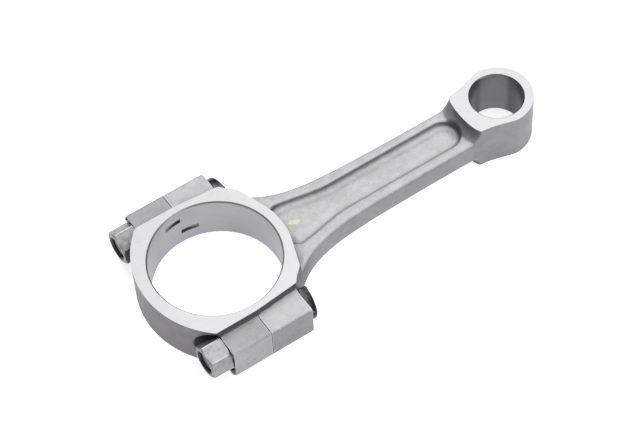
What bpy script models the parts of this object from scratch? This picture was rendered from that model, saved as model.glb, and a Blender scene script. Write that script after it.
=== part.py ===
"""A forged I-beam connecting rod with a bolted big-end cap, lying on its side.

Metres, +Z up. +X runs from the big end to the small end and +Z is along both bores. The origin is under
the middle of the rod's bounding box, on the surface that it lies on.
"""

from math import asin, atan2, cos, exp, pi, radians, sin, sqrt, tan

import bmesh
import bpy
from mathutils import Matrix, Vector

# Driving dimensions
CENTRES = 0.14478            # big-end bore to small-end bore
BIG_BORE_R = 0.02826
BIG_THICK = 0.0220
BIG_CHAMFER = 0.0006
SMALL_BORE_R = 0.01177
SMALL_RING = (0.0165, 0.0158)  # the ring's reach past the bore centre, along X and Y
SMALL_THICK = 0.0240
SMALL_CHAMFER = 0.0005
GAP = 0.0003                 # clearance kept between pieces that touch

# Big end: broached sides, cap crown and rod shoulder
FACE_HALF_W = 0.0319         # half width over the machined sides, at the parting line
SHOULDER_HALF_W = 0.0300     # the same at the rod shoulder, where the sides taper in
CAP_CROWN_X = -0.0341        # top of the cap's arch
CAP_ARCH_R = 0.0422
ROD_CROWN_X = 0.0329         # where the machined face meets the beam
ROD_ARCH_R = 0.0344
ROD_ARCH_SPREAD = radians(19.2)  # each way from the centre line; straight beyond it
FACE_CORNER_Y = 0.0237       # corner between that straight and the shoulder
SHOULDER_DIP = 0.0008        # how far past the bolt-head seat the side leaves the boss


# Bolt bosses
BOSS_HALF_W = 0.0427
BOSS_HALF_H = 0.0071
ROD_BOSS_X = 0.0200          # seat of the bolt head
CAP_BOSS_X = -0.0182         # seat of the nut
CAP_LIP_X = -0.0193          # forged end of the cap boss, round the machined seat
BOSS_EDGE = 0.0008

# I-beam
BEAM_HALF_W = 0.0120
BEAM_HALF_H = 0.0061
BEAM_MIDDLE_Z = -0.0005       # the beam is a little off the bores' mid plane
BEAM_EDGE = 0.0012
SWEEP_START_X = 0.0218       # the flanks are swept out to the big end from here on
SWEEP_SWELL = 0.0132         # how much wider than the beam each flank is at the sweep's root
SWEEP_ROOT_X = 0.0266
SWEEP_FADE = 0.0135          # the swell shrinks by a factor e over this length
RECESS_HALF_W = 0.0075
RECESS_WIDE = 0.0117         # the same beside the big end
RECESS_FUNNEL = (0.0340, 0.0620)  # narrows from one to the other between these
RECESS_END = 0.0222          # from the small-end bore back to the recess's round end
RECESS_ROUND = 0.0052
RECESS_DRAFT = 0.0007
WEB_HALF_H = 0.0038
WEB_FOOT = 0.0007            # height of the fillet at the foot of the recess's sides
WEB_FOOT_WIDE = 0.0013

# Small end, measured back from its bore centre
CHEEK_Y = 0.0121             # half width of the flat cheeks that carry on from the beam
CHEEK_SWELL = 0.0037         # how much wider the ring is than the cheeks
CHEEK_SPAN = (0.0150, 0.0)   # the swell's start and end
NECK_X = 0.0191              # beam side of the face at the middle
NECK_CORNER_X = 0.0168       # and at the corners
NECK_SLOPE = ((0.0098, 0.0006), (0.0080, 0.0016), (0.0059, 0.0036))  # (height, how far it has run out)

# Bolts and nuts
BOLT_Y = 0.0346              # bolt axis from the rod's centre line
BOLT_R = 0.00460
HEAD_R = 0.0072
HEAD_H = 0.0044
HEAD_EDGE = 0.0010           # chamfer round the head's outer face
HEAD_FLAT = 0.0042           # from the bolt axis to the head's anti-turn flat
NUT_FLATS = 0.0139
NUT_H = 0.0098
NUT_TURN = {"right": radians(73.0), "left": radians(14.0)}
BOLT_SHORT_OF_NUT = 0.0014   # the bolt ends inside the nut
SPOTFACE_R = 0.0106          # relief in the cap's flank
SEAT_R = 0.0088              # machined seat inside it

# Tang notches in the bore, both on the left side of the rod
NOTCH_LONG = 0.0112
NOTCH_WIDE = 0.0034
NOTCH_DEEP = 0.0016
CAP_NOTCH_Z = 0.0052
ROD_NOTCH_Z = -0.0042

# Frame: the fit origin is the big-end bore's centre at mid thickness
MIDDLE_X = (CAP_CROWN_X + CENTRES + SMALL_RING[0]) / 2
LIFT = SMALL_THICK / 2
SEGMENTS = 72
SIDES = {"right": -1.0, "left": 1.0}

for old in list(bpy.data.objects):
    bpy.data.objects.remove(old, do_unlink=True)
parts = bpy.data.collections.new("connecting_rod")
cutters = bpy.data.collections.new("connecting_rod_cutters")
for group in (parts, cutters):
    bpy.context.scene.collection.children.link(group)


def steel(name, colour, roughness, metallic=1.0):
    """A Principled material of one finish."""
    material = bpy.data.materials.new(name)
    material.use_nodes = True
    shader = material.node_tree.nodes["Principled BSDF"]
    shader.inputs["Base Color"].default_value = (*colour, 1.0)
    shader.inputs["Roughness"].default_value = roughness
    shader.inputs["Metallic"].default_value = metallic
    return material


def keep(mesh, name, material=None):
    """An object for the mesh, in the parts' collection, or in the cutters' when it has no material."""
    shape = bpy.data.objects.new(name, mesh)
    if material is None:
        cutters.objects.link(shape)
        shape.hide_render = True
        shape.display_type = "WIRE"
    else:
        parts.objects.link(shape)
        mesh.materials.append(material)
    return shape


def arc(centre, radius, start, end, steps):
    """Points of an arc in plan, both ends included."""
    return [
        (centre[0] + radius * cos(start + (end - start) * i / steps),
         centre[1] + radius * sin(start + (end - start) * i / steps))
        for i in range(steps + 1)
    ]


def mirrored(half):
    """A closed outline from its +Y half, which runs from one end of the X axis to the other."""
    return half + [(x, -y) for x, y in reversed(half) if y > 1e-6]


def prism(name, outline, half_height, middle=0.0):
    """A plate of the outline: a filled 2D curve, extruded both ways and made a closed mesh."""
    curve = bpy.data.curves.new(name, "CURVE")
    curve.dimensions = "2D"
    curve.fill_mode = "BOTH"
    curve.extrude = half_height
    spline = curve.splines.new("POLY")
    spline.points.add(len(outline) - 1)
    for point, (x, y) in zip(spline.points, outline):
        point.co = (x, y, 0.0, 1.0)
    spline.use_cyclic_u = True
    source = bpy.data.objects.new(name + "_curve", curve)
    parts.objects.link(source)
    evaluated = source.evaluated_get(bpy.context.evaluated_depsgraph_get())
    mesh = bpy.data.meshes.new_from_object(evaluated)
    bpy.data.objects.remove(source)
    bm = bmesh.new()
    bm.from_mesh(mesh)
    bmesh.ops.remove_doubles(bm, verts=bm.verts, dist=1e-6)
    bmesh.ops.translate(bm, verts=bm.verts, vec=(0.0, 0.0, middle))
    bmesh.ops.recalc_face_normals(bm, faces=bm.faces)
    bm.to_mesh(mesh)
    bm.free()
    mesh.name = name
    return mesh


def turned(name, radii, axis="Z", at=(0.0, 0.0, 0.0), segments=SEGMENTS):
    """A solid of revolution: cones stacked along the axis, one for each pair of (distance, radius)."""
    bm = bmesh.new()
    rings = []
    for distance, radius in radii:
        ring = bmesh.ops.create_circle(bm, cap_ends=False, radius=radius, segments=segments)["verts"]
        bmesh.ops.translate(bm, verts=ring, vec=(0.0, 0.0, distance))
        rings.append([edge for edge in bm.edges if all(v in ring for v in edge.verts)])
    for lower, upper in zip(rings, rings[1:]):
        bmesh.ops.bridge_loops(bm, edges=lower + upper)
    for end in (rings[0], rings[-1]):
        bmesh.ops.contextual_create(bm, geom=end)
    bmesh.ops.recalc_face_normals(bm, faces=bm.faces)
    if axis == "X":
        bmesh.ops.rotate(bm, verts=bm.verts, matrix=Matrix.Rotation(pi / 2, 3, "Y"))
    bmesh.ops.translate(bm, verts=bm.verts, vec=at)
    mesh = bpy.data.meshes.new(name)
    bm.to_mesh(mesh)
    bm.free()
    return mesh


def block(name, low, high, bevel=0.0, bevelled=None):
    """A box between two corners, with the edges that the test picks bevelled."""
    bm = bmesh.new()
    bmesh.ops.create_cube(bm, size=1.0)
    size = [b - a for a, b in zip(low, high)]
    middle = [(a + b) / 2 for a, b in zip(low, high)]
    bmesh.ops.scale(bm, verts=bm.verts, vec=size)
    bmesh.ops.translate(bm, verts=bm.verts, vec=middle)
    if bevel:
        edges = [edge for edge in bm.edges if bevelled(edge)]
        bmesh.ops.bevel(bm, geom=edges, offset=bevel, segments=2, profile=0.5, affect="EDGES", material=-1)
    mesh = bpy.data.meshes.new(name)
    bm.to_mesh(mesh)
    bm.free()
    return mesh


def combine(target, other, operation):
    """Joins or cuts the target with the other object, and keeps the cutter out of the way."""
    modifier = target.modifiers.new(f"{operation.lower()} {other.name}", "BOOLEAN")
    modifier.operation = operation
    modifier.solver = "EXACT"
    modifier.object = other
    return modifier


def bore_cutter(name, radius, thickness, chamfer, x):
    """A round bore with a chamfer at both faces, as one turned cutter."""
    half = thickness / 2
    beyond = 0.002
    return keep(
        turned(name, [(-half - beyond, radius + chamfer + beyond), (-half + chamfer, radius),
                      (half - chamfer, radius), (half + beyond, radius + chamfer + beyond)], at=(x, 0, 0)),
        name,
    )


# Plan outlines -------------------------------------------------------------------------------------


def cap_face(parting):
    """The cap's machined face: straight broached sides and a shallow arch over the crown."""
    centre = (CAP_CROWN_X + CAP_ARCH_R, 0.0)
    spread = asin(FACE_HALF_W / CAP_ARCH_R)
    arch = arc(centre, CAP_ARCH_R, pi, pi - spread, 14)
    return mirrored(arch + [(parting, FACE_HALF_W)])


def rod_face(parting):
    """The rod's machined face: sides that taper in to the shoulder, and an arch towards the beam."""
    arch = arc((ROD_CROWN_X - ROD_ARCH_R, 0.0), ROD_ARCH_R, ROD_ARCH_SPREAD, 0.0, 6)
    corner_x = arch[0][0] - (FACE_CORNER_Y - arch[0][1]) * tan(ROD_ARCH_SPREAD)
    start = (ROD_BOSS_X + SHOULDER_DIP, SHOULDER_HALF_W)
    dip = (start[0] + (corner_x - start[0]) * 0.35, start[1] + (FACE_CORNER_Y - start[1]) * 0.42)
    return mirrored([(parting, FACE_HALF_W), start, dip, (corner_x, FACE_CORNER_Y), *arch])


def flank(x):
    """Half width of the forging in plan at x, from the big-end shoulder to the small end."""
    swept = BEAM_HALF_W + SWEEP_SWELL * exp(-(x - SWEEP_ROOT_X) / SWEEP_FADE)
    return min(swept, SHOULDER_HALF_W - 0.0005)


def spread_out(first, last, count):
    """Evenly spaced values, both ends included."""
    return [first + (last - first) * i / (count - 1) for i in range(count)]


def smooth(value, low, high):
    """0 below the low value, 1 above the high one, and an S-curve between them."""
    share = min(max((value - low) / (high - low), 0.0), 1.0)
    return share * share * (3 - 2 * share)


def beam_outline():
    """The beam's plan outline: flanks that sweep out to the big end, and a stub inside the small end."""
    rise = [(x, flank(x)) for x in (*spread_out(SWEEP_START_X, 0.060, 16), 0.070, 0.090)]
    stub = CENTRES - NECK_CORNER_X
    return mirrored([(SWEEP_START_X, 0.0), *rise, (stub, BEAM_HALF_W), (stub + 0.003, 0.0)])


def recess_outline():
    """The recess beside the web: wide at the big end, narrowing along the flanks to a round end."""
    start = SWEEP_START_X + 0.0070
    funnel = [(x, RECESS_WIDE + (RECESS_HALF_W - RECESS_WIDE) * smooth(x, *RECESS_FUNNEL))
              for x in spread_out(0.0355, RECESS_FUNNEL[1], 9)]
    shoulder = [(start, RECESS_WIDE - 0.0026), (0.0322, RECESS_WIDE - 0.0024), (0.0338, RECESS_WIDE - 0.0010)]
    end_x = CENTRES - RECESS_END
    round_end = arc((end_x - RECESS_ROUND, RECESS_HALF_W - RECESS_ROUND), RECESS_ROUND, pi / 2, 0.0, 5)
    return mirrored([(start, 0.0), *shoulder, *funnel, *round_end, (end_x, 0.0)])


def small_end_outline():
    """The small end in plan: flat cheeks carrying on from the beam, swelling into an oval ring."""
    start, end = (CENTRES - reach for reach in CHEEK_SPAN)
    cheeks = [(x, CHEEK_Y + CHEEK_SWELL * smooth(x, start - 0.0010, end + 0.0030) * 1.06)
              for x in spread_out(start, end - 0.0030, 6)]
    ring = [(CENTRES + SMALL_RING[0] * cos(a), SMALL_RING[1] * sin(a)) for a in spread_out(pi / 2, 0.0, 19)]
    neck = CENTRES - NECK_X
    return mirrored([(neck, 0.0), (neck + 0.0006, CHEEK_Y / 2), (CENTRES - NECK_CORNER_X, CHEEK_Y - 0.0001),
                     *cheeks, *ring])


# Rod forging ---------------------------------------------------------------------------------------

forged = steel("shot_blasted_forging", (0.60, 0.60, 0.61), 0.42)


def boss(name, side, x_low, x_high):
    """One side's bolt boss, its outer corners rounded off."""
    y_low, y_high = sorted((side * (BIG_BORE_R + 0.0012), side * BOSS_HALF_W))
    outer = side * BOSS_HALF_W

    def on_outside(edge):
        return all(abs(v.co.y - outer) < 1e-6 for v in edge.verts)

    mesh = block(name, (x_low, y_low, -BOSS_HALF_H), (x_high, y_high, BOSS_HALF_H), BOSS_EDGE, on_outside)
    return keep(mesh, name)


def notch(name, side_x, z):
    """A tang notch: it starts full depth at the parting line and runs out along the bore."""
    deep_y = sqrt(BIG_BORE_R ** 2 - 0.001 ** 2) + NOTCH_DEEP
    reach = side_x * NOTCH_LONG
    outline = [(-side_x * 0.001, BIG_BORE_R - 0.004), (-side_x * 0.001, deep_y), (side_x * 0.001, deep_y),
               (reach, sqrt(BIG_BORE_R ** 2 - reach ** 2) - 0.0002), (reach, BIG_BORE_R - 0.004)]
    return keep(prism(name, outline, NOTCH_WIDE / 2, z), name)


def bolt_hole(name, side, x_low, x_high):
    """Clearance hole for one cap bolt."""
    y = SIDES[side] * BOLT_Y
    return keep(turned(name, [(x_low, BOLT_R + GAP), (x_high, BOLT_R + GAP)], "X", (0, y, 0), 28), name)


def web_beam():
    """The beam: rounded flange edges, and a recess sunk from each side that leaves the web."""
    beam = keep(prism("beam", beam_outline(), BEAM_HALF_H, BEAM_MIDDLE_Z), "beam")
    rounding = beam.modifiers.new("forged edges", "BEVEL")
    rounding.width = BEAM_EDGE
    rounding.segments = 2
    rounding.limit_method = "ANGLE"
    rounding.angle_limit = radians(60)
    for name, up in (("top", 1.0), ("bottom", -1.0)):
        combine(beam, keep(recess(f"recess_{name}", up), f"recess_{name}"), "DIFFERENCE")
    return beam


def rod_body():
    """The forging: big-end half, bolt bosses, beam with a recess each side, and the small end."""
    body = keep(prism("rod_body", rod_face(GAP / 2), BIG_THICK / 2), "rod_body", forged)
    combine(body, web_beam(), "UNION")
    combine(body, keep(small_end(), "small_end"), "UNION")
    for name, side in SIDES.items():
        combine(body, boss(f"rod_boss_{name}", side, GAP / 2, ROD_BOSS_X), "UNION")
    combine(body, bore_cutter("rod_big_bore", BIG_BORE_R, BIG_THICK, BIG_CHAMFER, 0.0), "DIFFERENCE")
    combine(body, bore_cutter("small_bore", SMALL_BORE_R, SMALL_THICK, SMALL_CHAMFER, CENTRES), "DIFFERENCE")
    for side in SIDES:
        combine(body, bolt_hole(f"rod_hole_{side}", side, -0.002, ROD_BOSS_X + 0.001), "DIFFERENCE")
    combine(body, notch("rod_notch", 1.0, ROD_NOTCH_Z), "DIFFERENCE")
    return body


def small_end():
    """The small end's full-thickness block, its beam side sloped down both ways to the flanges."""
    mesh = prism("small_end", small_end_outline(), LIFT)
    bm = bmesh.new()
    bm.from_mesh(mesh)
    for height, _ in NECK_SLOPE:
        for z in (height, -height):
            bmesh.ops.bisect_plane(bm, geom=bm.verts[:] + bm.edges[:] + bm.faces[:], dist=1e-7,
                                   plane_co=(0, 0, z), plane_no=(0, 0, 1))
    for vert in bm.verts:
        if vert.co.x < CENTRES - NECK_CORNER_X + 1e-5:
            vert.co.x -= max((run for height, run in NECK_SLOPE if abs(vert.co.z) < height + 1e-5), default=0.0)
    bm.to_mesh(mesh)
    bm.free()
    return mesh


def recess(name, up):
    """The recess beside the web: drafted sides down to a fillet and a flat floor."""
    mesh = prism(name, recess_outline(), BEAM_HALF_H / 2)
    bm = bmesh.new()
    bm.from_mesh(mesh)
    above = BEAM_HALF_H + 0.0030
    for vert in bm.verts:
        vert.co.z = above if vert.co.z > 0 else BEAM_HALF_H
    floor = [face for face in bm.faces if all(v.co.z < above - 1e-7 for v in face.verts)]
    bmesh.ops.dissolve_faces(bm, faces=floor)
    floor = [face for face in bm.faces if all(v.co.z < above - 1e-7 for v in face.verts)]
    foot = WEB_HALF_H + WEB_FOOT
    bmesh.ops.inset_region(bm, faces=floor, thickness=RECESS_DRAFT, depth=BEAM_HALF_H - foot)
    bmesh.ops.inset_region(bm, faces=floor, thickness=WEB_FOOT_WIDE, depth=WEB_FOOT)
    if up < 0:
        bmesh.ops.scale(bm, verts=bm.verts, vec=(1, 1, -1))
        bmesh.ops.reverse_faces(bm, faces=bm.faces)
    bmesh.ops.translate(bm, verts=bm.verts, vec=(0.0, 0.0, BEAM_MIDDLE_Z))
    bmesh.ops.triangulate(bm, faces=bm.faces)
    bm.to_mesh(mesh)
    bm.free()
    return mesh


# Big-end cap ---------------------------------------------------------------------------------------


def rod_cap():
    """The cap: an arched half with a nut boss each side, relieved and faced for the nuts."""
    cap = keep(prism("rod_cap", cap_face(-GAP / 2), BIG_THICK / 2), "rod_cap", forged)
    for name, side in SIDES.items():
        combine(cap, boss(f"cap_boss_{name}", side, CAP_LIP_X, -GAP / 2), "UNION")
    combine(cap, bore_cutter("cap_big_bore", BIG_BORE_R, BIG_THICK, BIG_CHAMFER, 0.0), "DIFFERENCE")
    for name, side in SIDES.items():
        combine(cap, bolt_hole(f"cap_hole_{name}", name, CAP_BOSS_X - 0.001, 0.002), "DIFFERENCE")
        for what, radius, depth in (("relief", SPOTFACE_R, CAP_LIP_X - 0.0002), ("seat", SEAT_R, CAP_BOSS_X)):
            cutter = turned(f"{what}_{name}", [(CAP_BOSS_X - 0.020, radius), (depth, radius)], "X",
                            (0, side * BOLT_Y, 0), 48)
            combine(cap, keep(cutter, f"{what}_{name}"), "DIFFERENCE")
    combine(cap, notch("cap_notch", -1.0, CAP_NOTCH_Z), "DIFFERENCE")
    return cap


# Bolts and nuts ------------------------------------------------------------------------------------

oiled = steel("black_oxide_bolt", (0.07, 0.07, 0.075), 0.30)
plated = steel("bright_nut", (0.66, 0.66, 0.68), 0.33)


def cap_bolt(name, side):
    """A cap bolt: a thin D-shaped head whose flat side stops it turning, and a plain shank."""
    seat = ROD_BOSS_X + GAP
    tip = CAP_BOSS_X - GAP - NUT_H + BOLT_SHORT_OF_NUT
    y = side * BOLT_Y
    profile = [(tip, BOLT_R - 0.0006), (tip + 0.0006, BOLT_R), (seat, BOLT_R), (seat, HEAD_R),
               (seat + HEAD_H - HEAD_EDGE, HEAD_R), (seat + HEAD_H, HEAD_R - HEAD_EDGE)]
    bolt = keep(turned(name, profile, "X", (0, y, 0), 36), name, oiled)
    flat_y, axis_y = side * (BOLT_Y - HEAD_FLAT), side * BOLT_Y
    low, high = sorted((flat_y, axis_y - side * 0.0010))
    square = block(f"{name}_square", (seat, low, -HEAD_R), (seat + HEAD_H - HEAD_EDGE, high, HEAD_R))
    combine(bolt, keep(square, f"{name}_square"), "UNION")
    low, high = sorted((flat_y, flat_y - side * 0.010))
    shave = block(f"{name}_flat", (seat - 0.0001, low, -0.012), (seat + HEAD_H + 0.002, high, 0.012))
    combine(bolt, keep(shave, f"{name}_flat"), "DIFFERENCE")
    return bolt


def cap_nut(name, side, turn):
    """A chamfered hex nut with a plain bore, countersunk on its outer face."""
    seat = CAP_BOSS_X - GAP
    face = seat - NUT_H
    y = side * BOLT_Y
    bm = bmesh.new()
    bmesh.ops.create_cone(bm, cap_ends=True, segments=6, radius1=NUT_FLATS / sqrt(3), depth=NUT_H,
                          radius2=NUT_FLATS / sqrt(3))
    bmesh.ops.rotate(bm, verts=bm.verts, matrix=Matrix.Rotation(pi / 2, 3, "Y"))
    first = max(bm.verts, key=lambda v: (round(v.co.x, 5), v.co.z)).co
    now = atan2(first.z, first.y)
    bmesh.ops.rotate(bm, verts=bm.verts, matrix=Matrix.Rotation(turn - now, 3, "X"))
    bmesh.ops.translate(bm, verts=bm.verts, vec=((seat + face) / 2, y, 0))
    mesh = bpy.data.meshes.new(name)
    bm.to_mesh(mesh)
    bm.free()
    nut = keep(mesh, name, plated)
    corner = NUT_FLATS / sqrt(3)
    flat = NUT_FLATS / 2
    slope = 0.58
    washer = turned(f"{name}_chamfer", [
        (face - 0.001, flat - 0.0002 - 0.001 / slope), (face + (corner - flat + 0.0004) * slope, corner + 0.0002),
        (seat - (corner - flat + 0.0004) * slope * 0.6, corner + 0.0002),
        (seat + 0.001, flat + 0.0002 - 0.001 / slope)], "X", (0, y, 0), 48)
    combine(nut, keep(washer, f"{name}_chamfer"), "INTERSECT")
    hole = BOLT_R + GAP
    bore = turned(f"{name}_bore", [(face - 0.001, hole + 0.0019), (face + 0.0009, hole), (seat + 0.001, hole)],
                  "X", (0, y, 0), 36)
    combine(nut, keep(bore, f"{name}_bore"), "DIFFERENCE")
    return nut


pieces = [rod_body(), rod_cap()]
for side_name, sign in SIDES.items():
    pieces.append(cap_bolt(f"cap_bolt_{side_name}", sign))
    pieces.append(cap_nut(f"cap_nut_{side_name}", sign, NUT_TURN[side_name]))

# Everything is modelled about the big-end bore, then set down with the part's origin under its middle
frame = bpy.data.objects.new("frame_origin", None)
bpy.context.scene.collection.objects.link(frame)
frame.location = Vector((-MIDDLE_X, 0.0, LIFT))
for shape in list(parts.objects) + list(cutters.objects):
    shape.parent = frame
bpy.context.view_layer.update()
for piece in pieces:
    piece.data.shade_smooth()
    piece.data.set_sharp_from_angle(angle=radians(35))
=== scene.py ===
"""A forged connecting rod with its bolted big-end cap, lying on its side on a pale bench."""

from math import atan2, cos, degrees, exp, pi, radians, sin, sqrt, tan

import bmesh
import bpy
from mathutils import Matrix, Vector
from mathutils.bvhtree import BVHTree


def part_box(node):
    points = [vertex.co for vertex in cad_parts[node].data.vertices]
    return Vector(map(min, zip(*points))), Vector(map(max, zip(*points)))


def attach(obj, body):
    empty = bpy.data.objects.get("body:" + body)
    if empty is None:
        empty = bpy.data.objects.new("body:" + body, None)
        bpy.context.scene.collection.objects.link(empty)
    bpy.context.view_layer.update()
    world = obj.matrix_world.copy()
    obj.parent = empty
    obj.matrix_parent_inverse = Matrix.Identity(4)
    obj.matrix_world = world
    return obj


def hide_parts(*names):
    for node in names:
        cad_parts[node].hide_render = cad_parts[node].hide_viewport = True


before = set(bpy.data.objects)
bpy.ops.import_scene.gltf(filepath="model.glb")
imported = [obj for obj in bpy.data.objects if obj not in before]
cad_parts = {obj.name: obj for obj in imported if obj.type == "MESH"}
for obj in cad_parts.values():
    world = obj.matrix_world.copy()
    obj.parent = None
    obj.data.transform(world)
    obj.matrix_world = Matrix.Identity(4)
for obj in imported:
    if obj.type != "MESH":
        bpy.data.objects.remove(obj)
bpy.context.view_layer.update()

# Camera, bench and light --------------------------------------------------------------------------
# The rod is seen from above its right side with the small end furthest away. All is measured from
# the middle of the big-end bore, and `home` carries those measurements to the rod's own place.

BORE_CENTRES = 0.14478
SMALL_END_FRONT = 0.0165
rod_low, rod_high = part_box("rod_body")
home = Matrix.Translation((rod_high[0] - SMALL_END_FRONT - BORE_CENTRES, 0.0,
                           (rod_low[2] + rod_high[2]) / 2))

azimuth, elevation, roll = radians(-30.9877), radians(54.5823), radians(-3.6464)
camera_distance = 1.0002
aim = home @ Vector((0.052075, -0.000041, 0.0))
back = Vector((sin(azimuth) * cos(elevation), -cos(azimuth) * cos(elevation), sin(elevation)))
level = Vector((0.0, 0.0, 1.0)).cross(back).normalized()
steep = back.cross(level)
across = cos(roll) * level + sin(roll) * steep
upward = cos(roll) * steep - sin(roll) * level
camera = bpy.data.objects.new("camera", bpy.data.cameras.new("camera"))
camera.data.lens = 132.347
camera.data.sensor_width = 36.0
camera.data.clip_start = 0.01
turn = Matrix((across, upward, back)).transposed()
camera.matrix_world = Matrix.Translation(aim + back * camera_distance) @ turn.to_4x4()
bpy.context.scene.collection.objects.link(camera)
bpy.context.scene.camera = camera
bpy.context.scene.view_settings.view_transform = "Standard"

bench_half, bench_white, bench_glow = 3.0, 0.82, 0.66
bench_mesh = bmesh.new()
bmesh.ops.create_grid(bench_mesh, x_segments=2, y_segments=2, size=bench_half)
bench = bpy.data.objects.new("bench", bpy.data.meshes.new("bench"))
bench_mesh.to_mesh(bench.data)
bench_mesh.free()
bpy.context.scene.collection.objects.link(bench)
bench_paint = bpy.data.materials.new("bench_paint")
bench_paint.use_nodes = True
paint = bench_paint.node_tree.nodes["Principled BSDF"].inputs
paint["Base Color"].default_value = (bench_white, bench_white, bench_white, 1.0)
paint["Roughness"].default_value = 0.9
paint["Emission Color"].default_value = (1.0, 1.0, 1.0, 1.0)
paint["Emission Strength"].default_value = bench_glow
bench.data.materials.append(bench_paint)

room = bpy.data.worlds.new("room")
room.use_nodes = True
room.node_tree.nodes["Background"].inputs["Color"].default_value = (0.98, 0.98, 1.0, 1.0)
room.node_tree.nodes["Background"].inputs["Strength"].default_value = 0.40
bpy.context.scene.world = room

for name, place, size, watts in (("overhead_softbox", (0.28, 0.14, 1.08), 1.20, 10.6),
                                 ("front_softbox", (0.35, -0.80, 0.75), 0.60, 1.6)):
    lamp = bpy.data.objects.new(name, bpy.data.lights.new(name, "AREA"))
    lamp.data.shape = "SQUARE"
    lamp.data.size = size
    lamp.data.energy = watts
    toward_rod = Vector(place).to_track_quat("Z", "Y").to_matrix().to_4x4()
    lamp.matrix_world = Matrix.Translation(place) @ toward_rod
    bpy.context.scene.collection.objects.link(lamp)


# Rod forging --------------------------------------------------------------------------------------
# One steel forging, shot-blasted grey: half of the big end with two bolt bosses, an I-beam and the
# small end. It is drop-forged with soft edges, then its faces, bores and bolt seats are machined.


class Wire:
    """One output in a material's nodes: arithmetic on it adds Math nodes."""

    def __init__(self, finish, socket):
        self.finish = finish
        self.socket = socket

    def math(self, operation, first, second):
        return self.finish.add("ShaderNodeMath", {"operation": operation}, {0: first, 1: second})

    def __add__(self, other):
        return self.math("ADD", self, other)

    def __radd__(self, other):
        return self.math("ADD", other, self)

    def __sub__(self, other):
        return self.math("SUBTRACT", self, other)

    def __rsub__(self, other):
        return self.math("SUBTRACT", other, self)

    def __mul__(self, other):
        return self.math("MULTIPLY", self, other)

    def __rmul__(self, other):
        return self.math("MULTIPLY", other, self)


class Finish:
    """A Principled material that is built up from nodes on the piece's own coordinates."""

    def __init__(self, name, metallic):
        self.material = bpy.data.materials.new(name)
        self.material.use_nodes = True
        self.shader = self.material.node_tree.nodes["Principled BSDF"]
        self.shader.inputs["Metallic"].default_value = metallic
        self.place = self.add("ShaderNodeTexCoord", out="Object")
        self.edge = self.add("ShaderNodeNewGeometry", out="Pointiness")
        self.facing = self.add("ShaderNodeNewGeometry", out="Normal")

    def add(self, kind, settings=None, inputs=None, out=0):
        """Any node: its settings first, then the values or wires of its sockets."""
        node = self.material.node_tree.nodes.new(kind)
        for key, value in (settings or {}).items():
            setattr(node, key, value)
        for key, value in (inputs or {}).items():
            if isinstance(value, Wire):
                self.material.node_tree.links.new(value.socket, node.inputs[key])
            else:
                node.inputs[key].default_value = value
        return Wire(self, node.outputs[out])

    def part(self, vector, axis):
        """The X, Y or Z part of a vector."""
        return self.add("ShaderNodeSeparateXYZ", None, {0: vector}, out=axis)

    def from_point(self, point):
        """The way from a point to the place that is being painted."""
        return self.add("ShaderNodeVectorMath", {"operation": "SUBTRACT"},
                        {0: self.place, 1: point})

    def noise(self, scale, detail=3.0, stretch=(1.0, 1.0, 1.0), roughness=0.5):
        """Noise with `scale` lumps a metre, drawn out along the axes where `stretch` is small."""
        place = self.add("ShaderNodeMapping", None, {"Vector": self.place, "Scale": stretch})
        return self.add("ShaderNodeTexNoise", None, {"Vector": place, "Scale": scale,
                                                     "Detail": detail, "Roughness": roughness})

    def between(self, value, low, high):
        """The value's share of the way from low to high, held between 0 and 1."""
        return self.add("ShaderNodeMapRange", {"interpolation_type": "SMOOTHSTEP"},
                        {"Value": value, "From Min": low, "From Max": high})

    def blend(self, share, first, second, mode="MIX"):
        """One colour over another, by a share."""
        return self.add("ShaderNodeMix", {"data_type": "RGBA", "blend_type": mode},
                        {0: share, 6: first, 7: second}, out=2)

    def darken(self, share, colour, shade):
        """The colour multiplied by a shade, by a share."""
        return self.blend(share, colour, (*shade, 1.0), "MULTIPLY")

    def feed(self, colour, rough, height):
        """Links the surface's own sockets: colour, roughness and height in metres."""
        bump = self.add("ShaderNodeBump", None,
                        {"Height": height, "Strength": 1.0, "Distance": 1.0})
        for wire, socket in ((colour, "Base Color"), (rough, "Roughness"), (bump, "Normal")):
            self.material.node_tree.links.new(wire.socket, self.shader.inputs[socket])
        return self.material


def tinted(tint, strength):
    """The tint made darker or lighter, as an opaque colour."""
    return (*(min(shade * strength, 1.0) for shade in tint), 1.0)


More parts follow.
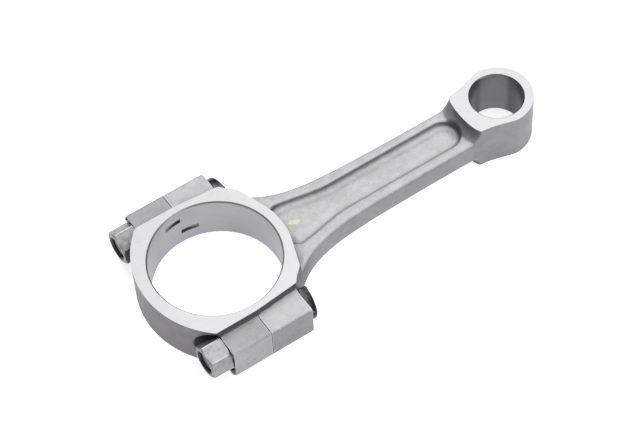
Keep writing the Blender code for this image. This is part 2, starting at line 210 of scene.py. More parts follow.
def shot_blasted(name, tint, side_shade, west_shade, daub=None):
    """Shot-blasted forging: fine peening dimples and patchy scale; painted shade on upright faces,
    on faces turned to -X, on +X faces by the shoulders, in hollows and in creases; paler edges,
    partly wear and partly painted highlight; and a dark line where the halves part, with pale edges
    partly rubbed and partly painted highlight."""
    finish = Finish(name, 0.30)
    dents = finish.add("ShaderNodeTexVoronoi", {"feature": "SMOOTH_F1"},
                       {"Vector": finish.place, "Scale": 1700.0, "Smoothness": 0.6})
    grain = finish.noise(2300.0, 2.0)
    cloud = finish.noise(85.0, 4.0)
    patches = finish.noise(330.0, 3.0, roughness=0.6)
    specks = finish.between(finish.noise(1300.0, 2.0), 0.66, 0.76)
    # Painted shade: upright faces are darkened by side_shade, as if the light from above reached
    # them less.
    rise = finish.part(finish.facing, "Z")
    side = 1.0 - finish.between(rise * rise, 0.02, 0.60)
    along = finish.part(finish.place, "X") - home.translation.x
    lengthways = finish.part(finish.facing, "X")
    # Painted shade: faces turned towards -X are darkened by west_shade, as if lit from +X.
    west_facing_shade = finish.between(0.0 - lengthways, 0.30, 0.80)
    # Painted shade: faces turned towards +X near the shoulders are darkened, where the bosses and
    # bolt heads shade them.
    on_shoulder = 1.0 - finish.between(along, 0.030, 0.042)
    shoulder_shade = finish.between(lengthways, 0.25, 0.70) * on_shoulder
    occlusion = finish.add("ShaderNodeAttribute", {"attribute_name": "occlusion"}, out="Fac")
    crease_shade = 1.0 - finish.between(finish.edge, 0.452, 0.497)
    wear_and_highlight = finish.between(finish.edge, 0.52, 0.575)
    parting = along * along * 1e8
    joint = 1.0 - finish.between(parting, 1.5, 5.0)
    rubbed_and_highlit = finish.between(parting, 5.0, 9.0) * (1.0 - finish.between(parting, 14.0, 30.0))

    scale = finish.between(cloud * 0.5 + patches * 0.5, 0.36, 0.64)
    colour = finish.blend(scale, tinted(tint, 0.88), tinted(tint, 1.07))
    colour = finish.darken(finish.between(grain, 0.30, 0.72), colour, (0.88, 0.88, 0.88))
    colour = finish.darken(side, colour, (side_shade, side_shade * 0.98, side_shade * 1.01))
    colour = finish.darken(west_facing_shade, colour, (west_shade, west_shade * 0.98, west_shade))
    colour = finish.darken(shoulder_shade, colour, (0.42, 0.41, 0.42))
    # Painted shade in hollows, by how closely the metal hems each vertex in.
    colour = finish.darken(finish.between(occlusion, 0.02, 0.42), colour, (0.12, 0.115, 0.115))
    # Painted shade along concave creases, such as the foot of the recess wall.
    colour = finish.darken(crease_shade * 0.90, colour, (0.20, 0.19, 0.19))
    colour = finish.blend(specks * 0.30, colour, (0.30, 0.27, 0.25, 1.0))
    # Paler convex edges: partly wear, partly painted highlight.
    colour = finish.blend(wear_and_highlight * 0.50, colour, (0.82, 0.82, 0.83, 1.0))
    # Paler bands beside the parting line: partly rubbed, partly painted highlight.
    colour = finish.blend(rubbed_and_highlit * 0.35, colour, (0.80, 0.80, 0.81, 1.0))
    colour = finish.blend(joint * 0.90, colour, (0.05, 0.048, 0.048, 1.0))
    if daub:
        colour = daub(finish, colour)
    rough = 0.46 + patches * 0.14 - wear_and_highlight * 0.12
    height = dents * 0.00007 + grain * 0.00005 + patches * 0.00010 - joint * 0.00015
    return finish.feed(colour, rough, height)


def paint_daub(finish, colour):
    """A pale yellow-green inspection mark, dabbed on the web beside the big end."""
    offset = finish.from_point(home @ Vector((0.0392, 0.0004, 0.0034)))
    skewed = finish.add("ShaderNodeVectorRotate", {"rotation_type": "Z_AXIS"},
                        {"Vector": offset, "Angle": 0.35})
    squeezed = finish.add("ShaderNodeVectorMath", {"operation": "MULTIPLY"},
                          {0: skewed, 1: (1.0, 2.4, 1.0)})
    reach = finish.add("ShaderNodeVectorMath", {"operation": "LENGTH"}, {0: squeezed}, out="Value")
    edge = reach + finish.noise(420.0, 3.0) * 0.003
    inside = 1.0 - finish.between(edge, 0.0034, 0.0050)
    cover = inside * finish.between(finish.noise(900.0, 2.0), 0.18, 0.48)
    return finish.blend(cover * 0.60, colour, (0.80, 0.82, 0.45, 1.0))


def ground(name, tint, direction, metallic=0.30):
    """Ground face: bright steel with fine scratches one way and a few faint stains."""
    finish = Finish(name, metallic)
    stretch = tuple(0.02 if axis == direction else 1.0 for axis in "XYZ")
    scratches = finish.noise(3800.0, 2.0, stretch)
    wide = finish.noise(900.0, 2.0, stretch)
    cloud = finish.noise(90.0, 3.0)
    stain = finish.between(finish.noise(340.0, 3.0), 0.64, 0.74)
    shine = finish.between(scratches * 0.5 + wide * 0.15 + cloud * 0.35, 0.36, 0.62)
    colour = finish.blend(shine, tinted(tint, 0.94), tinted(tint, 1.0))
    colour = finish.blend(stain * 0.22, colour, (0.50, 0.44, 0.42, 1.0))
    rough = 0.30 + scratches * 0.12 + cloud * 0.08
    return finish.feed(colour, rough, scratches * 0.000005 + wide * 0.000003)


def bored(name, tint, metallic=0.75, pin=False):
    """Bored and honed hole: fine rings round the bore, a little oil-dark. A pin bore has painted
    shade at its two sides across the line of view, and the big-end bore is darker in its cap."""
    finish = Finish(name, metallic)
    rings = finish.noise(2600.0, 2.0, (0.03, 0.03, 1.0))
    hone = finish.noise(700.0, 2.0, (0.2, 0.2, 1.0))
    cloud = finish.noise(60.0, 3.0)
    shine = finish.between(rings * 0.4 + cloud * 0.6, 0.35, 0.62)
    colour = finish.blend(shine, tinted(tint, 0.90), tinted(tint, 1.0))
    if pin:
        offset = finish.from_point(home @ Vector((BORE_CENTRES, 0.0, 0.0)))
        # Painted shade on the pin bore's two sides across the line of view; the middle band stays
        # paler.
        view_line = Vector((sin(0.54), cos(0.54), 0.0)) / pin_r
        along_view = finish.add("ShaderNodeVectorMath", {"operation": "DOT_PRODUCT"},
                             {0: offset, 1: view_line}, out="Value")
        bore_side_shade = 1.0 - finish.between(along_view * along_view, 0.62, 0.86)
        colour = finish.darken(bore_side_shade, colour, (0.50, 0.50, 0.51))
    else:
        into_cap = home.translation.x - finish.part(finish.place, "X")
        colour = finish.darken(finish.between(into_cap, 0.004, 0.027), colour, (0.62, 0.62, 0.64))
    rough = 0.26 + hone * 0.14
    return finish.feed(colour, rough, rings * 0.000003 + hone * 0.000004)


def store_occlusion(bm, reach=0.009, rays=18):
    """Stores on each vertex how closely the metal round it hems it in, 0 to 1, for painted shade in
    hollows.
    """
    metal = BVHTree.FromBMesh(bm)
    layer = bm.verts.layers.float.new("occlusion")
    fan = []
    for i in range(rays):
        height = sqrt(1.0 - (i + 0.5) / rays)
        width = sqrt(1.0 - height * height)
        round_about = i * pi * (3.0 - sqrt(5.0))
        fan.append(Vector((width * cos(round_about), width * sin(round_about), height)))
    for vert in bm.verts:
        stand = vert.normal.to_track_quat("Z", "Y").to_matrix()
        start = vert.co + vert.normal * 0.0002
        blocked = 0.0
        for ray in fan:
            distance = metal.ray_cast(start, stand @ ray, reach)[3]
            if distance is not None:
                blocked += 1.0 - distance / reach
        vert[layer] = blocked / rays


def piece_from(bm, name, *materials):
    """An object of the bmesh, linked to the scene with its materials."""
    mesh = bpy.data.meshes.new(name)
    bm.to_mesh(mesh)
    bm.free()
    piece = bpy.data.objects.new(name, mesh)
    for material in materials:
        mesh.materials.append(material)
    bpy.context.scene.collection.objects.link(piece)
    return piece


def plate(outline, low, high):
    """A bmesh plate: one face of the outline, extruded up."""
    bm = bmesh.new()
    base = bm.faces.new([bm.verts.new((x, y, low)) for x, y in outline])
    grown = bmesh.ops.extrude_face_region(bm, geom=[base])["geom"]
    lid = [item for item in grown if isinstance(item, bmesh.types.BMVert)]
    bmesh.ops.translate(bm, verts=lid, vec=(0, 0, high - low))
    bmesh.ops.recalc_face_normals(bm, faces=bm.faces)
    return bm


def block(low, high):
    """A bmesh box between two corners."""
    bm = bmesh.new()
    bmesh.ops.create_cube(bm, size=1.0)
    bmesh.ops.scale(bm, verts=bm.verts, vec=[b - a for a, b in zip(low, high)])
    bmesh.ops.translate(bm, verts=bm.verts, vec=[(a + b) / 2 for a, b in zip(low, high)])
    return bm


def turned(profile, axis, middle, steps=96):
    """A bmesh turned on a lathe: (distance, radius) points spun round an axis through `middle`."""
    bm = bmesh.new()
    ends = [(profile[0][0], 0.0), *profile, (profile[-1][0], 0.0)]
    chain = [bm.verts.new((radius, 0.0, distance)) for distance, radius in ends]
    edges = [bm.edges.new(pair) for pair in zip(chain, chain[1:])]
    bmesh.ops.spin(bm, geom=chain + edges, cent=(0, 0, 0), axis=(0, 0, 1), angle=2 * pi,
                   steps=steps, use_merge=True)
    bmesh.ops.remove_doubles(bm, verts=bm.verts, dist=1e-7)
    if axis == "X":
        bmesh.ops.rotate(bm, verts=bm.verts, matrix=Matrix.Rotation(pi / 2, 3, "Y"))
    bmesh.ops.translate(bm, verts=bm.verts, vec=middle)
    bmesh.ops.recalc_face_normals(bm, faces=bm.faces)
    return bm


def rounded(bm, edges, offset, segments):
    """Bevels the edges round."""
    bmesh.ops.bevel(bm, geom=edges, offset=offset, offset_type="OFFSET", segments=segments,
                    profile=0.5, affect="EDGES", material=-1)


def together(*shapes):
    """Several bmeshes poured into one."""
    whole = bmesh.new()
    for bm in shapes:
        mesh = bpy.data.meshes.new("pour")
        bm.to_mesh(mesh)
        bm.free()
        whole.from_mesh(mesh)
        bpy.data.meshes.remove(mesh)
    return whole


def worked(bm, *steps):
    """The bmesh after modifiers: a Boolean's kind with another bmesh, or REMESH with a size."""
    piece = piece_from(bm, "stock")
    helpers = []
    for kind, value in steps:
        if kind == "REMESH":
            step = piece.modifiers.new(kind, "REMESH")
            step.mode = "VOXEL"
            step.voxel_size = value
        else:
            step = piece.modifiers.new(kind, "BOOLEAN")
            step.operation = kind
            step.solver = "EXACT"
            step.object = piece_from(value, "tool")
            helpers.append(step.object)
    result = piece.evaluated_get(bpy.context.evaluated_depsgraph_get()).to_mesh()
    out = bmesh.new()
    out.from_mesh(result)
    for used in (piece, *helpers):
        mesh = used.data
        bpy.data.objects.remove(used)
        bpy.data.meshes.remove(mesh)
    return out


def cut(bm, tools):
    """The bmesh after each tool has cut it."""
    return worked(bm, *(("DIFFERENCE", tool) for tool in tools))


def forged(bm, grain=0.00055, passes=5):
    """The rough shapes run together into one forging, its edges and corners worn soft."""
    out = worked(bm, ("REMESH", grain))
    for _ in range(passes):
        bmesh.ops.smooth_vert(out, verts=out.verts, factor=0.5, use_axis_x=True, use_axis_y=True,
                              use_axis_z=True)
    return out


def mirrored(half):
    """A closed outline from its +Y half, which runs from one end of the X axis to the other."""
    return half + [(x, -y) for x, y in reversed(half) if y > 1e-6]


def spread(first, last, count):
    """Evenly spaced values, both ends included."""
    return [first + (last - first) * i / (count - 1) for i in range(count)]


def eased(value, low, high):
    """0 below low, 1 above high, and an S-curve between."""
    share = min(max((value - low) / (high - low), 0.0), 1.0)
    return share * share * (3 - 2 * share)


def arc(middle, radius, start, end, steps):
    """Points of an arc in plan."""
    return [(middle[0] + radius * cos(a), middle[1] + radius * sin(a))
            for a in spread(start, end, steps + 1)]


half_gap = 0.00002
stock = 0.0012
over_joint = 0.0020
bore_r, pin_r = 0.02826, 0.01177
face_z, pin_face_z = 0.0110, 0.0120
side_y, shoulder_y, seat_x = 0.0319, 0.0300, 0.0200

crown_mid, crown_r, crown_turn = -0.0015, 0.0344, radians(19.2)
corner_y = 0.0237
crown = arc((crown_mid, 0.0), crown_r, crown_turn, 0.0, 10)
corner = (crown[0][0] - (corner_y - crown[0][1]) * tan(crown_turn), corner_y)
shoulder = [(seat_x + 0.0006, shoulder_y), (0.0212, 0.0293), (0.0219, 0.0283), (0.0228, 0.0272)]
side_edge = [(-over_joint, side_y + 0.0001), (0.0, side_y)]
big_end = plate(mirrored([*side_edge, *shoulder, corner, *crown]), -face_z - stock, face_z + stock)

beam_y, beam_z, beam_mid = 0.0120, 0.0061, -0.0005
beam_start, beam_end = 0.0215, 0.1310
flank_flare, flare_start, flare_length = 0.0132, 0.0266, 0.0135
flanks = [(x, min(beam_y + flank_flare * exp(-(x - flare_start) / flare_length),
                  shoulder_y - 0.0006))
          for x in (*spread(beam_start, 0.060, 24), 0.070, 0.085, 0.100, 0.115)]
beam = plate(mirrored([(beam_start, 0.0), *flanks, (0.1290, beam_y), (beam_end, 0.0)]),
             -beam_z, beam_z)
rims = [edge for edge in beam.edges if abs(edge.verts[0].co.z - edge.verts[1].co.z) < 1e-6]
rounded(beam, rims, 0.0014, 3)

rim_y, wide_y, recess_start, recess_end, end_round = 0.0076, 0.0118, 0.0290, 0.12400, 0.0073
funnel_start, funnel_end = 0.0330, 0.0620
funnel = [(x, wide_y + (rim_y - wide_y) * eased(x, funnel_start, funnel_end))
          for x in spread(0.0355, funnel_end, 12)]
mouth = [(recess_start, wide_y - 0.0026), (0.0322, wide_y - 0.0022), (0.0338, wide_y - 0.0010)]
round_end = arc((recess_end - end_round, rim_y - end_round), end_round, pi / 2, 0.0, 14)
recess_half = [(recess_start, 0.0), *mouth, *funnel, *round_end, (recess_end, 0.0)]


def recess_tool(up):
    """The die's land that presses one recess into the beam: deepest round its foot, crowned."""
    recess = plate(mirrored(recess_half), beam_z, beam_z + 0.004)
    bottom = [face for face in recess.faces if face.normal.z < -0.5]
    for inward, deeper in ((0.0007, 0.0023), (0.0024, -0.0001), (0.0018, -0.0005)):
        bmesh.ops.inset_region(recess, faces=bottom, thickness=inward, depth=deeper)
    if up < 0:
        bmesh.ops.scale(recess, verts=recess.verts, vec=(1, 1, -1))
        bmesh.ops.reverse_faces(recess, faces=recess.faces)
    bmesh.ops.translate(recess, verts=recess.verts, vec=(0.0, 0.0, beam_mid))
    return recess


bmesh.ops.translate(beam, verts=beam.verts, vec=(0.0, 0.0, beam_mid))
beam = cut(beam, (recess_tool(1), recess_tool(-1)))

eye_half, cheek_flare, cheek_start = 0.0158, 0.0039, 0.0150
neck_slope, neck_curve = 0.0032, 2.2
cheeks = [(BORE_CENTRES - cheek_start + reach, beam_y + cheek_flare * eased(reach, -0.0010, 0.0180))
          for reach in spread(0.0, 0.0120, 7)]
ring = [(BORE_CENTRES + SMALL_END_FRONT * cos(a), eye_half * sin(a))
        for a in spread(pi / 2, 0.0, 25)]
neck = [(BORE_CENTRES - 0.0191, 0.0), (BORE_CENTRES - 0.0189, 0.0050),
        (BORE_CENTRES - 0.0181, 0.0093), (BORE_CENTRES - 0.0168, beam_y)]
small_end = plate(mirrored([*neck, *cheeks, *ring]), -pin_face_z - stock, pin_face_z + stock)
for level_z in spread(beam_z, pin_face_z, 9):
    for sign in (1, -1):
        whole = small_end.verts[:] + small_end.edges[:] + small_end.faces[:]
        bmesh.ops.bisect_plane(small_end, geom=whole, dist=1e-7, plane_co=(0, 0, sign * level_z),
                               plane_no=(0, 0, 1))
for vert in small_end.verts:
    if vert.co.x < neck[-1][0] + 1e-5:
        depth = min(max((pin_face_z - abs(vert.co.z)) / (pin_face_z - beam_z), 0.0), 1.0)
        vert.co.x -= neck_slope * depth ** neck_curve
small_end = cut(small_end, (recess_tool(1), recess_tool(-1)))

boss_y, boss_z, boss_foot = 0.0427, 0.0071, -0.0092
foot_outline = [(0.0, 0.0), (0.0030, 0.0), (0.0008, 0.0012), (0.0, 0.0030)]
foot_bite = 0.0004


def bolt_boss(side, start, end):
    """One bolt boss, from inside the bore's wall out to the big end's full width."""
    inner, outer = sorted((side * (bore_r + 0.0012), side * boss_y))
    return block((start, inner, boss_foot), (end, outer, boss_z))


def wall_foot(side, up, start, length, drift):
    """The fillet between a boss and the big end's side wall. Its far end stands `drift` aside."""
    foot = plate(foot_outline, 0.0, length)
    lay = Matrix(((0, 0, 1), (side, 0, 0), (0, up, 0))).to_4x4()
    bmesh.ops.transform(foot, matrix=lay, verts=foot.verts)
    bmesh.ops.translate(foot, verts=foot.verts,
                        vec=(start, side * (side_y - foot_bite), up * (boss_z - foot_bite)))
    far_end = [vert for vert in foot.verts if vert.co.x > start + length / 2]
    bmesh.ops.translate(foot, verts=far_end, vec=(0.0, side * drift, 0.0))
    bmesh.ops.recalc_face_normals(foot, faces=foot.faces)
    return foot


bosses, wall_feet = [], []
for side in (-1, 1):
    bosses.append(bolt_boss(side, -over_joint, seat_x + stock))
    for up in (-1, 1):
        wall_feet.append(wall_foot(side, up, -over_joint, seat_x + 0.0030, shoulder_y - side_y))
rough_rod = forged(together(big_end, beam, small_end, *bosses, *wall_feet))

notch_half, notch_deep, rod_notch_z, cap_notch_z = 0.0012, 0.0017, -0.0034, 0.0048
bolt_y, bolt_r = 0.0346, 0.0046
hole_r = bolt_r + 0.0003


def facing_cuts(start, end, half_width, face):
    """The milling cuts that face both sides of one end flat, from `face` outwards."""
    past = 0.020
    return [block((start, -half_width, face), (end, half_width, past)),
            block((start, -half_width, -past), (end, half_width, -face))]


def bore_tool(radius, face, chamfer, x):
    """A boring bar: the hole with a chamfer at both faces."""
    past = 0.003
    return turned([(-face - past, radius + chamfer + past), (-face + chamfer, radius),
                   (face - chamfer, radius), (face + past, radius + chamfer + past)],
                  "Z", (x, 0.0, 0.0), 128)


def drill(side, start, end, radius, steps):
    """A straight round cut along one bolt's axis."""
    return turned([(start, radius), (end, radius)], "X", (0.0, side * bolt_y, 0.0), steps)


def tang_notch(toward, z):
    """The milling cut for a bearing tang: deepest at the joint, running out along the bore."""
    start, inside = -toward * 0.001, bore_r - 0.004
    deep = bore_r + notch_deep
    reach = toward * 0.0112
    return plate([(start, inside), (start, deep), (toward * 0.0012, deep),
                  (reach, sqrt(bore_r ** 2 - reach ** 2) - 0.0002), (reach, inside)],
                 z - notch_half, z + notch_half)


rod_cuts = [*facing_cuts(-0.010, 0.060, 0.060, face_z),
            *facing_cuts(0.110, 0.170, 0.03, pin_face_z),
            block((-0.010, -0.060, -0.021), (half_gap, 0.060, 0.021)),
            bore_tool(bore_r, face_z, 0.0006, 0.0),
            bore_tool(pin_r, pin_face_z, 0.0005, BORE_CENTRES), tang_notch(1, rod_notch_z)]
for side in (-1, 1):
    rod_cuts.append(drill(side, -0.005, 0.025, hole_r, 48))
    inner, outer = sorted((side * 0.0302, side * 0.050))
    rod_cuts.append(block((seat_x, inner, -0.0125), (seat_x + 0.0055, outer, 0.0125)))
machined_rod = cut(rough_rod, rod_cuts)

FORGED, GROUND, BORED, PIN_BORED, BROACHED_IN_SHADE, NOTCH_IN_SHADE = range(6)


def finish_regions(bm, pick, sharp=radians(32)):
    """Gives each face the finish that `pick` names for its middle and normal, shaded smooth."""
    for face in bm.faces:
        face.material_index = pick(face.calc_center_median(), face.normal)
        face.smooth = True
    for edge in bm.edges:
        edge.smooth = len(edge.link_faces) == 2 and edge.calc_face_angle(0.0) < sharp


def in_bore(middle, x, radius):
    """Whether a point lies on the wall or chamfer of a bore."""
    return (middle.x - x) ** 2 + middle.y ** 2 < (radius + 0.0010) ** 2


def in_notch(middle, z):
    """Whether a point lies in a tang notch: outside the bore, on the left, near the joint."""
    outside = bore_r + 0.00008 < middle.xy.length < bore_r + 0.0022
    along_cut = middle.y > 0.020 and half_gap < abs(middle.x) < 0.012
    return outside and along_cut and abs(middle.z - z) < notch_half + 1e-5


def on_side_wall(middle, normal):
    """Whether a point lies on the wall between a machined face and a bolt boss."""
    upright = abs(normal.z) < 0.72 and boss_z + 0.0002 < abs(middle.z) < face_z - 1e-5
    return upright and 0.0292 < abs(middle.y) < 0.0335 and middle.x < 0.0222


def rod_finish(middle, normal):
    """The finish of one of the rod's faces."""
    if on_side_wall(middle, normal):
        return BROACHED_IN_SHADE
    if in_notch(middle, rod_notch_z):
        return BORED if normal.z > 0.5 else NOTCH_IN_SHADE
    if in_bore(middle, 0.0, bore_r + 0.0002):
        return GROUND if abs(normal.z) > 0.95 else BORED
    if in_bore(middle, BORE_CENTRES, pin_r):
        return GROUND if abs(normal.z) > 0.95 else PIN_BORED
    face = face_z if middle.x < 0.080 else pin_face_z
    flat = abs(normal.z) > 0.999 and abs(abs(middle.z) - face) < 1e-5
    off_seat = min(abs(middle.x - half_gap), abs(middle.x - seat_x))
    seated = abs(normal.x) > 0.999 and off_seat < 1e-5
    return GROUND if flat or seated else FORGED


forging = shot_blasted("shot_blasted_forging", (0.545, 0.545, 0.55), 0.50, 0.50, paint_daub)
ground_face = ground("ground_steel", (0.62, 0.62, 0.63), "X")
# The wall between a ground face and a boss is ground steel painted nearly black: painted shade.
broached_in_shade = ground("broached_side_shaded", (0.13, 0.128, 0.132), "X", 0.55)
# Notch floor, ceiling and ends are painted dark: painted shade; the upward ledge keeps the bored
# finish.
notch_in_shade = ground("milled_notch_shaded", (0.12, 0.12, 0.125), "X", 0.2)
bored_steel = bored("bored_steel", (0.365, 0.36, 0.39))
pin_bore_steel = bored("pin_bore_steel", (0.205, 0.20, 0.215), pin=True)
machined_rod.normal_update()
store_occlusion(machined_rod)
finish_regions(machined_rod, rod_finish)
bmesh.ops.transform(machined_rod, matrix=home, verts=machined_rod.verts)
rod = piece_from(machined_rod, "rod_forging", forging, ground_face, bored_steel, pin_bore_steel,
                 broached_in_shade, notch_in_shade)
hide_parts("rod_body")
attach(rod, "rod")


# Big-end cap --------------------------------------------------------------------------------------
# The other half of the big end, forged from the same steel and line-bored with the rod: an arch
# with a boss each side, relieved with a cutter round each nut and faced for it.

nut_seat_x, lip_x, relief_r, spot_r = -0.0182, -0.0193, 0.0106, 0.0088
arch_mid, arch_r, arch_turn = 0.0081, 0.0422, 0.8573
arch = [(arch_mid + arch_r * cos(a), arch_r * sin(a)) for a in spread(pi, pi - arch_turn, 24)]
cap_plate = plate(mirrored([*arch, (0.0, side_y), (over_joint, side_y + 0.0001)]),
                  -face_z - stock, face_z + stock)


def is_outer_corner(edge):
    """Whether an edge is the upright outer corner at a cap boss's lip."""
    return all(abs(v.co.x - lip_x) < 1e-6 and abs(abs(v.co.y) - boss_y) < 1e-6 for v in edge.verts)


cap_bosses, cap_feet = [], []
for side in (-1, 1):
    cap_boss = bolt_boss(side, lip_x, over_joint)
    rounded(cap_boss, [edge for edge in cap_boss.edges if is_outer_corner(edge)], 0.0016, 3)
    cap_bosses.append(cap_boss)
    for up in (-1, 1):
        cap_feet.append(wall_foot(side, up, -0.0190, 0.0210, 0.0))
rough_cap = forged(together(cap_plate, *cap_bosses, *cap_feet))

cap_cuts = [*facing_cuts(-0.050, 0.010, 0.060, face_z),
            block((-half_gap, -0.060, -0.021), (0.010, 0.060, 0.021)),
            bore_tool(bore_r, face_z, 0.0006, 0.0), tang_notch(-1, cap_notch_z)]
for side in (-1, 1):
    cap_cuts.append(drill(side, -0.025, 0.005, hole_r, 48))
    cap_cuts.append(drill(side, -0.045, lip_x + 0.0002, relief_r, 72))
    cap_cuts.append(drill(side, -0.045, nut_seat_x, spot_r, 72))
machined_cap = cut(rough_cap, cap_cuts)

RELIEF_IN_SHADE = PIN_BORED


def cap_finish(middle, normal):
    """The finish of one of the cap's faces."""
    if on_side_wall(middle, normal) and middle.x > -0.0190:
        return BROACHED_IN_SHADE
    if in_notch(middle, cap_notch_z):
        return BORED if normal.z > 0.5 else NOTCH_IN_SHADE
    if in_bore(middle, 0.0, bore_r + 0.0002):
        return GROUND if abs(normal.z) > 0.95 else BORED
    if abs(normal.z) > 0.999 and abs(abs(middle.z) - face_z) < 1e-5:
        return GROUND
    off_bolt = (abs(middle.y) - bolt_y) ** 2 + middle.z ** 2
    relieved = off_bolt < (relief_r + 5e-6) ** 2 and middle.x < nut_seat_x + 1e-5
    at_joint = abs(normal.x) > 0.999 and abs(middle.x + half_gap) < 1e-5
    return RELIEF_IN_SHADE if relieved or at_joint else FORGED


cap_forging = shot_blasted("shot_blasted_cap", (0.41, 0.41, 0.415), 0.95, 0.52)
# The relief round each nut and the joint face are painted nearly black: painted shade.
relief_in_shade = ground("milled_relief_shaded", (0.06, 0.058, 0.06), "Y", 0.4)
machined_cap.normal_update()
store_occlusion(machined_cap)
finish_regions(machined_cap, cap_finish)
bmesh.ops.transform(machined_cap, matrix=home, verts=machined_cap.verts)
cap = piece_from(machined_cap, "big_end_cap", cap_forging, ground_face, bored_steel, relief_in_shade,
                 broached_in_shade, notch_in_shade)
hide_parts("rod_cap")
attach(cap, "cap")


# Cap bolts ----------------------------------------------------------------------------------------
# Two heat-treated bolts with a black oxide skin, pressed through the rod from the shoulder. The
# thin domed head is D-shaped: its flat lies along the big end and stops the bolt turning.

head_r, head_h, head_flat, head_slope, crest_round = 0.0072, 0.0044, 0.0042, 0.13, 0.0011
clear = 0.0003
nut_h = 0.0095
head_x = seat_x + clear
tip_x = nut_seat_x - clear - nut_h + 0.0010
pitch, thread_depth, thread_end = 0.00102, 0.00055, -0.0070
root_r, land_r = bolt_r - thread_depth, bolt_r - 0.00004

oxide = Finish("black_oxide", 0.85)
rub = oxide.between(oxide.noise(520.0, 4.0, roughness=0.65), 0.50, 0.70)
# Paler edges on the bolts: partly rubbed oxide, partly painted highlight.
edge_rub_and_highlight = oxide.between(oxide.edge, 0.53, 0.62)
skin = oxide.blend(rub * 0.4, (0.012, 0.012, 0.014, 1.0), (0.07, 0.068, 0.07, 1.0))
skin = oxide.blend(edge_rub_and_highlight * 0.4, skin, (0.35, 0.35, 0.36, 1.0))
along_bolt = oxide.part(oxide.place, "X") - home.translation.x
# A paler band round the head's crest: partly rubbed oxide, partly painted highlight.
crown_rub_and_highlight = oxide.between(along_bolt, head_x + head_h - 0.0016, head_x + head_h - 0.0009)
tip_rub = 1.0 - oxide.between(along_bolt, tip_x + 0.0004, tip_x + 0.0008)
skin = oxide.blend(crown_rub_and_highlight * (0.45 + rub * 0.5), skin, (0.30, 0.295, 0.30, 1.0))
skin = oxide.blend(tip_rub * rub, skin, (0.07, 0.068, 0.07, 1.0))
glints = oxide.between(oxide.noise(620.0, 2.0), 0.66, 0.72)
skin = oxide.blend(glints * 0.7, skin, (0.55, 0.55, 0.56, 1.0))
black_oxide = oxide.feed(skin, 0.20 + oxide.noise(1400.0, 3.0) * 0.16,
                         oxide.noise(1500.0, 3.0) * 0.00006)


def is_crest(edge):
    """Whether an edge runs round the outer rim of a bolt head."""
    high = all(v.co.z > head_h * 0.5 for v in edge.verts) and len(edge.link_faces) == 2
    lying = abs(edge.verts[0].co.z - edge.verts[1].co.z) < 0.0012
    return high and lying and edge.calc_face_angle(0.0) > radians(50)


for side, side_name in ((-1, "right"), (1, "left")):
    half_d = [(-head_flat, 0.0), (-head_flat, head_r - 0.0012),
              (-head_flat + 0.0004, head_r - 0.0003), (-head_flat + 0.0014, head_r),
              *arc((0.0, 0.0), head_r, pi / 2, 0.0, 14)]
    head = plate(mirrored(half_d), 0.0, head_h)
    whole = head.verts[:] + head.edges[:] + head.faces[:]
    slope = bmesh.ops.bisect_plane(head, geom=whole, dist=1e-7, plane_co=(-head_flat, 0, head_h),
                                   plane_no=(head_slope, 0, 1), clear_outer=True)
    rim = [item for item in slope["geom_cut"] if isinstance(item, bmesh.types.BMEdge)]
    bmesh.ops.contextual_create(head, geom=rim)
    rounded(head, [edge for edge in head.edges if is_crest(edge)], crest_round, 4)
    lay = Matrix(((0, 0, 1), (side, 0, 0), (0, 1, 0))).to_4x4()
    place = Matrix.Translation((head_x, side * bolt_y, 0.0))
    bmesh.ops.transform(head, matrix=place @ lay, verts=head.verts)
    bmesh.ops.recalc_face_normals(head, faces=head.faces)
    threads = []
    x = tip_x + 0.0009
    while x < thread_end:
        threads += [(x, root_r), (x + pitch * 0.42, land_r), (x + pitch * 0.58, land_r)]
        x += pitch
    shank = turned([(tip_x, bolt_r - 0.0011), (tip_x + 0.0006, root_r), *threads, (x, root_r),
                    (x + 0.0008, bolt_r), (head_x + 0.0010, bolt_r)],
                   "X", (0.0, side * bolt_y, 0.0), 48)
    bolt_mesh = together(head, shank)
    finish_regions(bolt_mesh, lambda middle, normal: 0, radians(40))
    bmesh.ops.transform(bolt_mesh, matrix=home, verts=bolt_mesh.verts)
    bolt = piece_from(bolt_mesh, f"black_bolt_{side_name}", black_oxide)
    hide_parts(f"cap_bolt_{side_name}")
    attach(bolt, "rod")


# Cap nuts -----------------------------------------------------------------------------------------
# Two hardened hexagon nuts in bare steel, turned from bar with a chamfer at both ends and a
# countersunk thread. Each screws onto its bolt against the faced seat on the cap.

flats = 0.0139
point = flats / sqrt(3)
seat = nut_seat_x - clear
outer_x = seat - nut_h
end_round_r, chamfer_lean = flats / 2 - 0.0004, 0.58
rise = (point - flats / 2 + 0.0004) * chamfer_lean
FLAT, THREAD, RIDGE_HIGHLIGHT, END_SHADE = range(4)


def bare_nut(name, clean, smudged):
    """Bare nut steel: fine drawing lines along the flats and oily finger smudges."""
    finish = Finish(name, 0.50)
    drawn = finish.noise(2200.0, 2.0, (0.03, 1.0, 1.0))
    smudge = finish.between(finish.noise(420.0, 4.0, roughness=0.6), 0.40, 0.68)
    colour = finish.blend(smudge * 0.6 + drawn * 0.2, (*clean, 1.0), (*smudged, 1.0))
    return finish.feed(colour, 0.30 + smudge * 0.12 + drawn * 0.06,
                       drawn * 0.00001 + finish.noise(1500.0, 3.0) * 0.00003)


thread_dark = bored("dark_thread", (0.07, 0.07, 0.075), 0.6)
# Rounded hex ridges in bright nut steel: painted highlight.
nut_edge_highlight = bare_nut("nut_edge_highlight", (0.66, 0.65, 0.66), (0.50, 0.49, 0.49))
# Chamfers and end faces in darker nut steel: painted shade.
nut_end_shade = bare_nut("nut_end_shade", (0.24, 0.235, 0.24), (0.13, 0.128, 0.13))
# Lit and shaded copies of one nut steel: the left nut is darker as painted shade from the cap wall
# beside it.
lit_nut = bare_nut("lit_nut", (0.33, 0.325, 0.34), (0.25, 0.242, 0.245))
shaded_nut = bare_nut("shaded_nut", (0.26, 0.26, 0.265), (0.15, 0.15, 0.145))

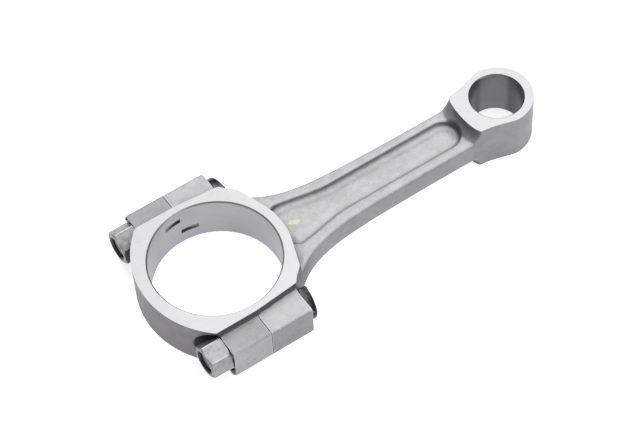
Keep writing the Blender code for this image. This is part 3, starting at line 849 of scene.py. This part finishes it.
for side, side_name, turned_by, nut_steel in ((-1, "right", 73.0, lit_nut),
                                              (1, "left", 19.0, shaded_nut)):
    hexagon = bmesh.new()
    bmesh.ops.create_cone(hexagon, cap_ends=True, segments=6, radius1=point, radius2=point,
                          depth=nut_h)
    ridges = [e for e in hexagon.edges if abs(e.verts[0].co.z - e.verts[1].co.z) > 1e-4]
    rounded(hexagon, ridges, 0.0003, 2)
    bmesh.ops.rotate(hexagon, verts=hexagon.verts, matrix=Matrix.Rotation(pi / 2, 3, "Y"))
    top = max(hexagon.verts, key=lambda v: (round(v.co.x, 5), v.co.z)).co
    now = Vector((top.y, top.z)).angle_signed(Vector((1.0, 0.0)))
    to_place = Matrix.Rotation(radians(turned_by) - now, 3, "X")
    bmesh.ops.rotate(hexagon, verts=hexagon.verts, matrix=to_place)
    bmesh.ops.translate(hexagon, verts=hexagon.verts,
                        vec=((seat + outer_x) / 2, side * bolt_y, 0.0))
    chamfers = turned([(outer_x - 0.0010, end_round_r - 0.0010 / chamfer_lean),
                       (outer_x + rise, point + 0.0002), (seat - rise * 0.6, point + 0.0002),
                       (seat + 0.0010, flats / 2 + 0.0001 - 0.0010 / chamfer_lean)],
                      "X", (0.0, side * bolt_y, 0.0), 96)
    grooves = [(outer_x - 0.0010, hole_r + 0.0014), (outer_x + 0.0005, hole_r + 0.0002)]
    x = outer_x + 0.0005
    while x < seat - 0.0012:
        grooves += [(x + pitch * 0.5, hole_r), (x + pitch, hole_r + 0.0005)]
        x += pitch
    tap = turned([*grooves, (seat + 0.0010, hole_r + 0.0008)], "X", (0.0, side * bolt_y, 0.0), 48)
    nut_mesh = worked(hexagon, ("INTERSECT", chamfers), ("DIFFERENCE", tap))
    nut_mesh.normal_update()

    def nut_finish(middle, normal):
        """The finish of one of this nut's faces."""
        reach = sqrt((middle.y - side * bolt_y) ** 2 + middle.z ** 2)
        if reach < hole_r + 0.0006 and middle.x > outer_x + 0.0002:
            return THREAD
        if abs(normal.x) > 0.05:
            return END_SHADE
        off_ridge = (degrees(atan2(normal.z, normal.y)) - turned_by + 30.0) % 60.0 - 30.0
        return RIDGE_HIGHLIGHT if abs(off_ridge) < 25.0 else FLAT

    finish_regions(nut_mesh, nut_finish, radians(24))
    bmesh.ops.transform(nut_mesh, matrix=home, verts=nut_mesh.verts)
    nut = piece_from(nut_mesh, f"hex_nut_{side_name}", nut_steel, thread_dark, nut_edge_highlight, nut_end_shade)
    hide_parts(f"cap_nut_{side_name}")
    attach(nut, f"nut_{side_name}")
